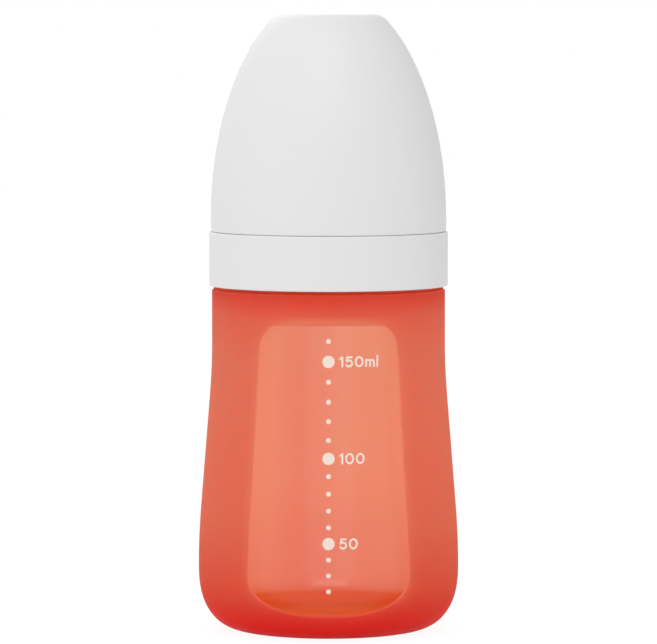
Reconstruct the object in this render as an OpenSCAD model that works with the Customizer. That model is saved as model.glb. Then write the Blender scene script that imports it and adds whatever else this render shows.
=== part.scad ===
// Wide-neck glass baby bottle in a silicone sleeve with a window, closed by a screw collar that
// clamps a teat and a sealing disc, under a dome cap that snaps onto the collar.
// The origin is the centre of the base on the table. +Z is up and the window faces -Y.

/* [Glass bottle] */
// Widest diameter, measured over the sleeve
body_d = 65; // [62:0.5:72]
// Height of the glass from its underside to its rim
bottle_h = 98.1; // [92:0.5:120]
// Thickness of the glass wall
glass_wall = 2; // [1.6:0.1:2.8]
// Thickness of the glass under the feed
glass_base = 1.8; // [1.6:0.1:4]
// Outside diameter of the neck under its thread
neck_d = 51.8; // [47:0.2:55]
// Height of the neck from the shoulder to the rim
neck_h = 15.5; // [15:0.1:18]
// How far the shoulder stands out from the neck
shoulder_step = 1.3; // [1:0.1:2.2]
// Height over which the shoulder rounds in to the neck
shoulder_h = 2; // [1.5:0.1:3]
// Height of the dent under the glass base
punt_h = 0.9; // [0.4:0.1:1.5]
// Diameter of the dent under the glass base
punt_d = 30; // [20:0.5:34]

/* [Outline of the body] */
// Diameter of the flat that stands on the table
foot_d = 40; // [34:0.5:42]
// Height of the rounded corner above the table
corner_h = 16; // [12:0.5:16]
// Fullness of the rounded corner, where 2 is an ellipse
corner_power = 2.4; // [2:0.1:3]
// Height at which the wall starts to lean inwards
belly_h = 23.5; // [23.5:0.5:30]
// Length of the straight stretch below the neck
waist_h = 18.5; // [12:0.5:20]
// Half the height over which the wall bends at either end of its lean
bend_h = 7; // [4:0.5:7]

/* [Silicone sleeve] */
// Thickness of the silicone
sleeve_wall = 1.8; // [1.2:0.1:2.4]
// Gap between the silicone and the glass
sleeve_fit = 0.1; // [0.05:0.05:0.2]
// Height of the groove between the sleeve and the collar
groove_h = 0.9; // [0.6:0.1:2]
// Depth of that groove
groove_d = 0.5; // [0.45:0.05:0.8]
// How far the sleeve's lip reaches up inside the collar
lip_tuck = 0.8; // [0.4:0.1:1.5]
// Rounding of the sleeve's top edge
top_round = 0.4; // [0.2:0.05:0.4]
// Diameter of the recess under the sleeve
recess_d = 18; // [10:0.5:30]
// Depth of the recess under the sleeve
recess_h = 0.5; // [0.3:0.1:0.8]

/* [Window in the sleeve] */
// Width at the top
window_top_w = 34.4; // [28:0.2:40]
// Greatest width, just above the round lower end
window_low_w = 40.2; // [34:0.2:46]
// Height of the lowest point above the table
window_foot = 6.6; // [5.5:0.2:9]
// Height of the round lower end
window_bowl_h = 12.3; // [9:0.1:16]
// Fullness of the round lower end, where 2 is an ellipse
window_power = 2.35; // [2:0.05:3]
// Radius of the upper corners
window_corner_r = 5.5; // [3:0.1:8]
// Width of the band of silicone left above the window
window_band = 7.5; // [5:0.1:12]

/* [Collar] */
// How far the collar reaches down below the rim of the glass
skirt_drop = 13.9; // [12:0.1:14]
// Height of the collar's outer band
band_h = 13.5; // [10:0.1:14]
// Thickness of the collar's skirt
collar_wall = 2.3; // [1.8:0.1:3]
// Gap between the neck and the skirt, which the two threads share
thread_gap = 1.6; // [1.4:0.1:2]
// Thickness of the flange that clamps the teat
clamp_t = 1.8; // [1.4:0.1:2.4]
// How far the flange reaches in past the bore of the glass
clamp_reach = 1.2; // [0.8:0.1:2]
// Step from the band in to the ring that carries the cap
ring_step = 2.5; // [2.2:0.1:2.7]
// Rounding of the collar's outer edges
band_round = 0.4; // [0.2:0.1:0.6]

/* [Sealing disc] */
// Thickness of the disc
disc_t = 1; // [0.8:0.1:1.4]
// Height of the ring that centres it in the bore
disc_ring_h = 2; // [1:0.1:4]
// Width of that ring
disc_ring_w = 1.2; // [0.8:0.1:2]

/* [Teat] */
// Thickness of the flange
flange_t = 1.8; // [1.4:0.1:2.4]
// Thickness of the dome
teat_wall = 2; // [1.6:0.1:2.4]
// Thickness of the nipple
nipple_wall = 1.6; // [1.2:0.1:2]
// Height of the dome
dome_h = 21; // [17:0.5:26]
// Narrowest diameter of the nipple
nipple_d = 13.4; // [11:0.2:15]
// Diameter of the nipple's bulb
bulb_d = 15.2; // [13:0.2:17]
// Height from the narrowest place to the middle of the bulb
bulb_rise = 9; // [7:0.5:12]
// Height from the middle of the bulb to the tip
tip_h = 7.5; // [6:0.5:10]
// Diameter of the feeding hole
feed_hole_d = 0.6; // [0.3:0.1:1]
// Diameter of the air vent in the flange
vent_d = 0.8; // [0.5:0.1:1.2]
// Number of ribs inside the dome
rib_count = 6; // [4:1:10]
// Depth of a rib
rib_depth = 0.8; // [0.4:0.1:1.2]
// Width of a rib
rib_w = 1.6; // [1:0.1:2.5]
// Height of the bead that holds the teat in the collar
bead_h = 1.2; // [0.8:0.1:2]
// How far the bead stands out past the collar's hole
bead_reach = 0.6; // [0.3:0.1:1]

/* [Cap] */
// Thickness of the cap
cap_wall = 1.6; // [1.2:0.1:2]
// How far the cap's wall lies inside the collar's band
cap_step = 0.4; // [0.2:0.05:0.6]
// Height of the cap's widest place above its rim
cap_belly = 2.9; // [1:0.1:6]
// Diameter of the flat on top
cap_flat_d = 26.4; // [20:0.2:36]
// Rounding of the edge round the flat
cap_round = 1.5; // [0.8:0.1:2.5]
// Free height between the teat's tip and the cap
headroom = 8.4; // [4:0.2:14]
// Rounding of the cap's rim
rim_round = 0.25; // [0.1:0.05:0.4]

/* [Fits] */
// Gap between pieces that slide or turn past each other
running_gap = 0.3; // [0.2:0.05:0.4]
// Gap between the cap's snap ring and the collar's snap bead
snap_gap = 0.15; // [0.1:0.05:0.25]
// How far the snap bead stands out from the collar's ring
snap_reach = 0.2; // [0.15:0.05:0.3]

/* [Hidden] */
$fn = 96;
eps = 0.01;
curve_steps = 10;

// Heights above the table, from the bottom up
glass_z = sleeve_wall + sleeve_fit;
rim_z = glass_z + bottle_h;
shoulder_z = rim_z - neck_h;
lean_top_z = shoulder_z - waist_h;
skirt_z = rim_z - skirt_drop;
ledge_z = skirt_z - groove_h;
tuck_z = skirt_z - running_gap;
lip_z = skirt_z + lip_tuck;
window_z = ledge_z - window_band;
flange_z = rim_z + disc_t;
clamp_z = flange_z + flange_t;
collar_top_z = clamp_z + clamp_t;
seat_z = skirt_z + band_h;
dome_z = collar_top_z + running_gap + bead_h;
nipple_z = dome_z + dome_h;
bulb_z = nipple_z + bulb_rise;
tip_z = bulb_z + tip_h;
cap_top_z = tip_z + headroom + cap_wall;

// Radii, from the neck outwards and inwards
neck_r = neck_d / 2;
bore_r = neck_r - glass_wall;
waist_r = neck_r + shoulder_step + sleeve_fit + sleeve_wall;
skirt_r = neck_r + thread_gap;
collar_r = skirt_r + collar_wall;
ring_r = collar_r - ring_step;
hole_r = bore_r - clamp_reach;
lip_r = skirt_r - running_gap;
groove_r = waist_r - groove_d;
ring_bore_r = neck_r + running_gap;
flange_r = ring_bore_r - running_gap;
skirt_of_teat_r = hole_r - running_gap;
bead_r = hole_r + bead_reach;
cap_r = collar_r - cap_step;
snap_r = ring_r + snap_reach;

// A straight ramp that starts softly round zero, bend_h to either side
function ramp(u) = u <= -bend_h ? 0 : u >= bend_h ? u : pow(u + bend_h, 2) / (4 * bend_h);

// Radius of the wall at height z, measured over the sleeve
function wall_r(z) = body_d / 2
    - (body_d / 2 - waist_r) / (lean_top_z - belly_h) * (ramp(z - belly_h) - ramp(z - lean_top_z));

// Heights at which the bend round height z is drawn
function bend_heights(z) = [for (i = [-4 : 4]) z + bend_h * i / 4];

// Outline of the body from its flat foot to the end of its lean, a given depth inside the sleeve's surface
function body_outline(depth, floor_z) = concat(
    [for (i = [0 : curve_steps]) let (a = 90 * i / curve_steps) [
        foot_d / 2 + (body_d / 2 - depth - foot_d / 2) * pow(sin(a), 2 / corner_power),
        corner_h - (corner_h - floor_z) * pow(cos(a), 2 / corner_power)
    ]],
    [for (z = concat(bend_heights(belly_h), bend_heights(lean_top_z))) [wall_r(z) - depth, z]]
);

// Quarter ellipse about a centre, from one angle to another
function arc(centre, rx, ry, from, to, steps = curve_steps) = [for (i = [0 : steps])
    let (a = from + (to - from) * i / steps) centre + [rx * cos(a), ry * sin(a)]];

// Cubic curve through its first and last points, pulled by the two between them
function cubic(p, steps = curve_steps) = [for (i = [0 : steps]) let (t = i / steps, s = 1 - t)
    s * s * s * p[0] + 3 * s * s * t * p[1] + 3 * s * t * t * p[2] + t * t * t * p[3]];

// The shoulder of the glass, an S from the body's wall in to the neck
function shoulder(depth) = cubic([
    [waist_r - depth, shoulder_z - shoulder_h],
    [waist_r - depth, shoulder_z - shoulder_h / 2],
    [waist_r - depth - shoulder_step, shoulder_z - shoulder_h / 2],
    [waist_r - depth - shoulder_step, shoulder_z]
], 6);

function reversed(list) = [for (i = [len(list) - 1 : -1 : 0]) list[i]];

// The window seen from the front: a full round lower end, sides that lean in and rounded upper corners
function window_half() = let (
    low = window_low_w / 2,
    top = window_top_w / 2,
    bowl_z = window_foot + window_bowl_h
) concat(
    [for (i = [0 : 2 * curve_steps]) let (a = 90 * i / (2 * curve_steps))
        [low * pow(sin(a), 2 / window_power), bowl_z - window_bowl_h * pow(cos(a), 2 / window_power)]],
    arc([top - window_corner_r, window_z - window_corner_r], window_corner_r, window_corner_r, 0, 90)
);

function mirrored(list) = [for (p = reversed(list)) [-p[0], p[1]]];

module window_cut() {
    rotate([90, 0, 0])
        linear_extrude(height = body_d)
            polygon(concat(window_half(), mirrored(window_half())));
}

// Silicone sleeve, with its lip rising inside the collar
module sleeve() {
    outer_edge = [waist_r - top_round, ledge_z - top_round];
    color("#d9614a")
        difference() {
            rotate_extrude()
                polygon(concat(
                    [[0, recess_h], [recess_d / 2 - recess_h, recess_h], [recess_d / 2, 0]],
                    body_outline(0, 0),
                    arc(outer_edge, top_round, top_round, 0, 90, 6),
                    [
                        [groove_r, ledge_z],
                        [groove_r, tuck_z],
                        [lip_r, tuck_z],
                        [lip_r, lip_z - top_round / 2],
                        [lip_r - top_round / 2, lip_z],
                        [neck_r + sleeve_fit, lip_z]
                    ],
                    reversed(shoulder(sleeve_wall)),
                    reversed(body_outline(sleeve_wall, sleeve_wall)),
                    [[0, sleeve_wall]]
                ));
            window_cut();
        }
}

// Glass bottle, open at the rim
module bottle() {
    depth = sleeve_wall + sleeve_fit;
    inner = depth + glass_wall;
    floor_z = glass_z + glass_base;
    rim_round_r = glass_wall / 2;
    color("#dfe9ea", 0.5)
        rotate_extrude()
            polygon(concat(
                [for (i = [0 : 6]) let (r = punt_d / 2 * i / 6)
                    [r, glass_z + punt_h * (1 - pow(2 * r / punt_d, 2))]],
                body_outline(depth, glass_z),
                shoulder(depth),
                arc([neck_r - rim_round_r / 2, rim_z - rim_round_r / 2], rim_round_r / 2, rim_round_r / 2, 0, 90, 6),
                arc([bore_r + rim_round_r / 2, rim_z - rim_round_r / 2], rim_round_r / 2, rim_round_r / 2, 90, 180, 6),
                reversed(shoulder(inner)),
                reversed(body_outline(inner, floor_z)),
                [for (i = [6 : -1 : 0]) let (r = punt_d / 2 * i / 6)
                    [r, floor_z + punt_h * (1 - pow(2 * r / punt_d, 2))]]
            ));
}

// Sealing disc: a flat plate clamped on the rim of the glass, with a ring below that centres it in the bore
module sealing_disc() {
    plug_r = bore_r - running_gap;
    color("#f2f2f0")
        rotate_extrude()
            polygon([
                [0, rim_z],
                [plug_r - disc_ring_w, rim_z],
                [plug_r - disc_ring_w, rim_z - disc_ring_h],
                [plug_r - disc_ring_w / 2, rim_z - disc_ring_h],
                [plug_r, rim_z - disc_ring_h / 2],
                [plug_r, rim_z],
                [flange_r, rim_z],
                [flange_r, flange_z],
                [0, flange_z]
            ]);
}

// Outline of the dome and nipple, inside it by one depth at the dome and another at the nipple
function teat_outline(dome_depth, nipple_depth) = let (
    base = [skirt_of_teat_r - dome_depth, dome_z],
    waist = [nipple_d / 2 - nipple_depth, nipple_z - dome_depth / 2],
    bulb = [bulb_d / 2 - nipple_depth, bulb_z],
    tip = [0, tip_z - nipple_depth]
) concat(
    cubic([base, base + [0, dome_h / 2 - dome_depth], waist - [0, dome_h * 0.6], waist], 14),
    cubic([waist, waist + [0, bulb_rise / 2], bulb - [0, bulb_rise / 2], bulb], 8),
    cubic([bulb, bulb + [0, 0.6 * tip[1] - 0.6 * bulb[1]], tip + [bulb[0] * 0.6, 0], tip], 8)
);

// Teat: flange under the collar, bead above it, dome and nipple
module teat() {
    inside = teat_outline(teat_wall, nipple_wall);
    inside_r = skirt_of_teat_r - teat_wall;
    color("#efe6d8", 0.7)
        difference() {
            union() {
                difference() {
                    rotate_extrude()
                        polygon(concat(
                            [
                                [0, flange_z],
                                [flange_r, flange_z],
                                [flange_r, clamp_z],
                                [skirt_of_teat_r, clamp_z],
                                [skirt_of_teat_r, collar_top_z + running_gap]
                            ],
                            arc([skirt_of_teat_r, dome_z - bead_h / 2], bead_r - skirt_of_teat_r, bead_h / 2, -90, 90, 8),
                            teat_outline(0, 0)
                        ));
                    rotate_extrude()
                        polygon(concat([[0, flange_z - eps], [inside_r, flange_z - eps]], inside));
                }
                for (i = [0 : rib_count - 1])
                    rotate([0, 0, 360 * i / rib_count])
                        rib();
            }
            translate([0, 0, tip_z - 2 * nipple_wall])
                cylinder(d = feed_hole_d, h = 3 * nipple_wall);
            translate([0, (skirt_of_teat_r + bore_r) / 2 - teat_wall, flange_z - eps])
                cylinder(d = vent_d, h = flange_t + 2 * eps);
        }
}

// A rib on the inside of the dome, which keeps it from falling in and fades out at either end
module rib() {
    intersection() {
        translate([0, -rib_w / 2, 0])
            cube([hole_r, rib_w, tip_z]);
        rotate_extrude()
            polygon(concat(rib_curve(-teat_wall / 2, -teat_wall / 2), reversed(rib_curve(rib_depth, 0))));
    }
}

// The dome's inner curve moved inwards, by one depth at its middle and another at its ends
function rib_curve(depth, end_depth) = let (
    base = [skirt_of_teat_r - teat_wall, dome_z],
    waist = [nipple_d / 2 - nipple_wall, nipple_z - teat_wall / 2]
) cubic([
    base - [end_depth, 0],
    base - [depth, teat_wall - dome_h / 2],
    waist - [depth, dome_h * 0.6],
    waist - [end_depth, 0]
], 14);

// Screw collar: band and skirt outside, a ring that carries the cap, and a flange over the teat
module collar() {
    color("#ecebea")
        rotate_extrude()
            polygon(concat(
                arc([collar_r - band_round, skirt_z + band_round], band_round, band_round, -90, 0, 4),
                arc([collar_r - band_round, seat_z - band_round], band_round, band_round, 0, 90, 4),
                [
                    [ring_r, seat_z],
                    [ring_r, collar_top_z - clamp_t - snap_reach],
                    [snap_r, collar_top_z - clamp_t],
                    [snap_r, collar_top_z - clamp_t / 2],
                    [ring_r - clamp_t / 2, collar_top_z],
                    [hole_r, collar_top_z],
                    [hole_r, clamp_z],
                    [ring_bore_r, clamp_z],
                    [ring_bore_r, seat_z],
                    [skirt_r, seat_z - thread_gap],
                    [skirt_r, skirt_z]
                ]
            ));
}

// Outline of the cap, from just above its rim to the flat on top
function cap_outline(r, flat_r, top_z, edge) = let (
    middle_z = seat_z + cap_belly,
    rise = top_z - middle_z,
    half_h = rise / sqrt(1 - pow(flat_r / r, 2)),
    from = asin((seat_z + rim_round - middle_z) / half_h),
    to = asin((rise - edge) / half_h),
    shoulder_r = r * cos(to)
) concat(
    arc([0, middle_z], r, half_h, from, to, 3 * curve_steps),
    cubic([
        [shoulder_r, top_z - edge],
        [shoulder_r - 0.45 * edge * r / half_h * tan(to), top_z - edge * 0.55],
        [flat_r - edge * 0.35, top_z],
        [flat_r - edge, top_z]
    ], 6)
);

// Dome cap, open at its rim, with a snap ring inside
module cap() {
    inner_r = cap_r - cap_wall;
    ring_in_r = snap_r + snap_gap;
    ring_z = seat_z + cap_wall / 2;
    color("#edecea")
        difference() {
            rotate_extrude()
                polygon(concat(
                    [[0, seat_z], [cap_r - 2 * rim_round, seat_z]],
                    cap_outline(cap_r, cap_flat_d / 2, cap_top_z, cap_round),
                    [[0, cap_top_z]]
                ));
            rotate_extrude()
                polygon(concat(
                    [
                        [0, seat_z - eps],
                        [inner_r, seat_z - eps],
                        [inner_r, ring_z],
                        [ring_in_r, ring_z + inner_r - ring_in_r],
                        [ring_in_r, ring_z + 2 * (inner_r - ring_in_r)],
                        [inner_r, ring_z + 3 * (inner_r - ring_in_r)]
                    ],
                    cap_outline(inner_r, cap_flat_d / 2 - cap_wall / 2, cap_top_z - cap_wall, cap_round),
                    [[0, cap_top_z - cap_wall]]
                ));
        }
}

sleeve();
bottle();
sealing_disc();
teat();
collar();
cap();
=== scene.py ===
"""Wide-neck glass baby bottle in a coral silicone sleeve, with collar, teat, disc and dome cap.

Each piece stands for the plain solid of the same kind and rides on the body that carries it. The
classes hold their sizes in millimetres, and a mesh becomes metres only when it is made. The studio
round the bottle is in metres.
"""

from __future__ import annotations

import logging
import math
from dataclasses import dataclass
from enum import Enum
from typing import Mapping, Sequence, Union

import bmesh
import bpy
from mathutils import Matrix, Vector

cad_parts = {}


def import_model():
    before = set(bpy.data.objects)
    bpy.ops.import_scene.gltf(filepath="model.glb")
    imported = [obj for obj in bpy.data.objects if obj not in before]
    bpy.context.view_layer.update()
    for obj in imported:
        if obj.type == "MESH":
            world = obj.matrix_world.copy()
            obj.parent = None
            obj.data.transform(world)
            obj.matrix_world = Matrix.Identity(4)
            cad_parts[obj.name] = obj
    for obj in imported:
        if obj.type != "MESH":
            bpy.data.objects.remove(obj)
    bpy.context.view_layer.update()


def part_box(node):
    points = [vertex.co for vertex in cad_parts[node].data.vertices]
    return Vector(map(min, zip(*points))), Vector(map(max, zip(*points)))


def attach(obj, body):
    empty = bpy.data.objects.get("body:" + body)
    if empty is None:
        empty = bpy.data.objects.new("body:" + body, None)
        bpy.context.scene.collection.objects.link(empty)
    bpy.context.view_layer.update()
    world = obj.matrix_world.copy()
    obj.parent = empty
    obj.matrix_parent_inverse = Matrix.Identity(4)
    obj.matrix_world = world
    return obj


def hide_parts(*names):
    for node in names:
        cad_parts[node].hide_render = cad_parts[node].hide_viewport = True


LOG = logging.getLogger("baby_bottle")
MM = 0.001
# Points nearer to each other than this are one point, in metres.
MERGE = 0.000001

Flat = tuple[float, float]
Solid = tuple[float, float, float]
Colour = tuple[float, float, float, float]
Tones = tuple[tuple[float, Colour], ...]

WHITE: Colour = (1.0, 1.0, 1.0, 1.0)


# ---------------------------------------------------------------------------------------------
# Curves and outlines
# ---------------------------------------------------------------------------------------------


def srgb(red: int, green: int, blue: int) -> Colour:
    """Turn a colour as a screen shows it, 0 to 255, into the linear colour that shaders take.

    Args:
        red: Red as shown.
        green: Green as shown.
        blue: Blue as shown.

    Returns:
        The linear colour with an alpha of 1.
    """

    def linear(shown: int) -> float:
        """One channel, decoded."""
        share = shown / 255
        return share / 12.92 if share <= 0.04045 else ((share + 0.055) / 1.055) ** 2.4

    return linear(red), linear(green), linear(blue), 1.0


def arc(centre: Flat, radii: Flat, start: float, end: float, steps: int) -> list[Flat]:
    """Points along an ellipse about a centre.

    Args:
        centre: The ellipse's centre.
        radii: Its half-widths.
        start: First angle in degrees.
        end: Last angle in degrees.
        steps: Number of stretches between the points.

    Returns:
        steps + 1 points.
    """
    angles = (math.radians(start + (end - start) * i / steps) for i in range(steps + 1))
    return [(centre[0] + radii[0] * math.cos(a), centre[1] + radii[1] * math.sin(a)) for a in angles]


def cubic(ends: Sequence[Flat], steps: int) -> list[Flat]:
    """Points along a cubic curve through its first and last control points.

    Args:
        ends: The four control points.
        steps: Number of stretches between the points.

    Returns:
        steps + 1 points.
    """
    points = []
    for i in range(steps + 1):
        t = i / steps
        s = 1 - t
        weights = (s**3, 3 * s * s * t, 3 * s * t * t, t**3)
        points.append(tuple(sum(w * p[axis] for w, p in zip(weights, ends)) for axis in (0, 1)))
    return points


def rounded(corners: Sequence[tuple[float, float, float]], steps: int = 4) -> list[Flat]:
    """A line through corners that are each rounded to a radius of their own.

    Args:
        corners: Across, up and radius of each corner. The first and last stay sharp.
        steps: Stretches in each rounding.

    Returns:
        The points of the line.
    """
    points: list[Flat] = [corners[0][:2]]
    for before, corner, after in zip(corners, corners[1:], corners[2:]):
        here, radius = corner[:2], corner[2]
        back = math.dist(here, before[:2])
        ahead = math.dist(here, after[:2])
        cut = min(radius, 0.49 * back, 0.49 * ahead)
        if cut <= 0:
            points.append(here)
            continue
        a = tuple(h + (b - h) * cut / back for h, b in zip(here, before))
        b = tuple(h + (n - h) * cut / ahead for h, n in zip(here, after))
        for i in range(steps + 1):
            t = i / steps
            blend = ((1 - t) ** 2, 2 * t * (1 - t), t * t)
            points.append(tuple(sum(w * p[k] for w, p in zip(blend, (a, here, b))) for k in (0, 1)))
    points.append(corners[-1][:2])
    return points


def spread(line: Sequence[Flat], longest: float) -> list[Flat]:
    """The same line with points added, so that no stretch is longer than a given length.

    Args:
        line: The line's points.
        longest: The length that no stretch goes over.

    Returns:
        The points of the finer line.
    """
    points = [line[0]]
    for a, b in zip(line, line[1:]):
        count = max(1, math.ceil(math.dist(a, b) / longest))
        shares = (i / count for i in range(1, count + 1))
        points += [(a[0] + (b[0] - a[0]) * share, a[1] + (b[1] - a[1]) * share) for share in shares]
    return points


def crossing(loop: Sequence[Flat], way: Flat) -> Flat:
    """Where a ray from zero meets a loop that runs round zero.

    Args:
        loop: The loop's points.
        way: The ray's direction.

    Returns:
        The point on the loop.

    Raises:
        ValueError: If the ray meets nothing.
    """
    for a, b in zip(loop, [*loop[1:], loop[0]]):
        sides = [way[0] * p[1] - way[1] * p[0] for p in (a, b)]
        if sides[0] * sides[1] > 0 or sides[0] == sides[1]:
            continue
        t = sides[0] / (sides[0] - sides[1])
        hit = (a[0] + (b[0] - a[0]) * t, a[1] + (b[1] - a[1]) * t)
        if hit[0] * way[0] + hit[1] * way[1] > 0:
            return hit
    raise ValueError("the loop does not run round zero")


def round_axis(across: float, up: float, angle: float) -> Solid:
    """A point at a distance from the axis, where angle 0 is the front and runs to the right."""
    return across * math.sin(angle), -across * math.cos(angle), up


# ---------------------------------------------------------------------------------------------
# Node trees
# ---------------------------------------------------------------------------------------------


class Wire:
    """One output of a node, on which arithmetic adds Math nodes."""

    def __init__(self, tree: Tree, socket: bpy.types.NodeSocket) -> None:
        """Wrap a socket of a tree."""
        self.tree = tree
        self.socket = socket

    def maths(self, operation: str, *values: Value) -> Wire:
        """The result of one Math operation on some values."""
        return self.tree.node("ShaderNodeMath", {"operation": operation}, dict(enumerate(values)))

    def __add__(self, other: Value) -> Wire:
        """self + other."""
        return self.maths("ADD", self, other)

    def __radd__(self, other: Value) -> Wire:
        """other + self."""
        return self.maths("ADD", other, self)

    def __sub__(self, other: Value) -> Wire:
        """self - other."""
        return self.maths("SUBTRACT", self, other)

    def __rsub__(self, other: Value) -> Wire:
        """other - self."""
        return self.maths("SUBTRACT", other, self)

    def __mul__(self, other: Value) -> Wire:
        """self * other."""
        return self.maths("MULTIPLY", self, other)

    def __rmul__(self, other: Value) -> Wire:
        """other * self."""
        return self.maths("MULTIPLY", other, self)

    def __truediv__(self, other: Value) -> Wire:
        """self / other."""
        return self.maths("DIVIDE", self, other)

    def __abs__(self) -> Wire:
        """The size of self without its sign."""
        return self.maths("ABSOLUTE", self)

    def hypot(self, other: Wire) -> Wire:
        """The distance from zero of the point with these two coordinates."""
        return self.maths("SQRT", self * self + other * other)

    def part(self, axis: str) -> Wire:
        """One coordinate of a vector."""
        return self.tree.node("ShaderNodeSeparateXYZ", None, {0: self}, axis)

    def step(self, low: Value, high: Value) -> Wire:
        """0 up to low and 1 from high on, with a soft change between them.

        Args:
            low: Where the change starts.
            high: Where it ends.

        Returns:
            The share.
        """
        return self.tree.node(
            "ShaderNodeMapRange",
            {"interpolation_type": "SMOOTHSTEP"},
            {"Value": self, "From Min": low, "From Max": high},
        )


Value = Union[Wire, float, Sequence[float], str, bool, bpy.types.Material]


class Tree:
    """A node tree, built up through one method."""

    def __init__(self, nodes: bpy.types.NodeTree) -> None:
        """Start from an empty tree."""
        self.tree = nodes
        self.tree.nodes.clear()

    def feed(self, socket: bpy.types.NodeSocket, value: Value) -> None:
        """Link a wire into a socket, or set the socket's own value.

        Args:
            socket: The socket to feed.
            value: A wire to link, or a plain value to set.
        """
        if isinstance(value, Wire):
            self.tree.links.new(value.socket, socket)
        else:
            socket.default_value = value

    def node(
        self,
        kind: str,
        settings: Mapping[str, object] | None = None,
        inputs: Mapping[int | str, Value] | None = None,
        output: int | str = 0,
    ) -> Wire:
        """Add a node, set it and feed it.

        Args:
            kind: The node's type.
            settings: Its own settings, and under "stops" a ramp's places and colours.
            inputs: Values or wires by the socket's index or name.
            output: The output to hand back.

        Returns:
            The wire from that output.
        """
        made = self.tree.nodes.new(kind)
        for name, value in (settings or {}).items():
            if name == "stops":
                self.set_stops(made.color_ramp, value)
            else:
                setattr(made, name, value)
        for key, value in (inputs or {}).items():
            self.feed(made.inputs[key], value)
        return Wire(self, made.outputs[output] if made.outputs else None)

    @staticmethod
    def set_stops(ramp: bpy.types.ColorRamp, stops: Tones) -> None:
        """Give a ramp its places and colours.

        Args:
            ramp: The ramp of a Color Ramp node.
            stops: Places from 0 to 1, with their colours.
        """
        while len(ramp.elements) < len(stops):
            ramp.elements.new(1.0)
        for element, (place, colour) in zip(ramp.elements, stops):
            element.position = place
            element.color = colour


class Shader(Tree):
    """The node tree of a material."""

    def __init__(self, name: str) -> None:
        """Make the material and empty its tree.

        Args:
            name: The material's name.
        """
        self.material = bpy.data.materials.new(name)
        self.material.use_nodes = True
        super().__init__(self.material.node_tree)
        self.place = self.node("ShaderNodeTexCoord", output="Object")

    def height(self) -> Wire:
        """Height above the table, in millimetres."""
        return self.place.part("Z") / MM

    def inward(self, floor: Flat) -> Wire:
        """1 where the surface faces the axis, or faces up below two heights, and 0 elsewhere.

        Args:
            floor: Heights between which surfaces that face up stop counting.

        Returns:
            The share.
        """
        normal = self.node("ShaderNodeTexCoord", output="Normal")
        nx, ny, nz = (normal.part(axis) for axis in "XYZ")
        x, y = (self.place.part(axis) for axis in "XY")
        up = nz * (1 - self.height().step(*floor))
        return (up - (nx * x + ny * y) / x.hypot(y)).step(0.75, 0.9)

    def noise(self, grain: float, detail: float = 2.0) -> Wire:
        """Noise from 0 to 1 whose grains are about a given size in millimetres."""
        fineness = {"Scale": 1 / (grain * MM), "Detail": detail, "Roughness": 0.55}
        return self.node("ShaderNodeTexNoise", None, {"Vector": self.place, **fineness}, "Fac")

    def blend(self, share: Value, first: Value, second: Value) -> Wire:
        """A colour between two colours."""
        return self.node("ShaderNodeMix", {"data_type": "RGBA"}, {0: share, 6: first, 7: second}, 2)

    def bump(self, height: Wire, depth: float, strength: float = 1.0) -> Wire:
        """A normal that stands for a fine relief.

        Args:
            height: The relief's height, from 0 to 1.
            depth: Its depth in millimetres.
            strength: The share of it that shows.

        Returns:
            The normal.
        """
        relief = {"Strength": strength, "Distance": depth * MM, "Height": height}
        return self.node("ShaderNodeBump", None, relief)

    def principled(self, inputs: Mapping[int | str, Value]) -> Wire:
        """The plain surface shader."""
        return self.node("ShaderNodeBsdfPrincipled", None, inputs)

    def passing(self, kind: str, colour: Colour) -> Wire:
        """A shader for light that passes through, "Translucent" or "Transparent"."""
        return self.node(f"ShaderNodeBsdf{kind}", None, {"Color": colour})

    def mix(self, share: Value, first: Wire, second: Wire) -> Wire:
        """A shader between two shaders."""
        return self.node("ShaderNodeMixShader", None, {0: share, 1: first, 2: second})

    def finish(self, surface: Wire) -> bpy.types.Material:
        """Make a shader the material's surface and hand the material back."""
        self.node("ShaderNodeOutputMaterial", None, {"Surface": surface})
        return self.material


# ---------------------------------------------------------------------------------------------
# Finishes
# ---------------------------------------------------------------------------------------------


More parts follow.
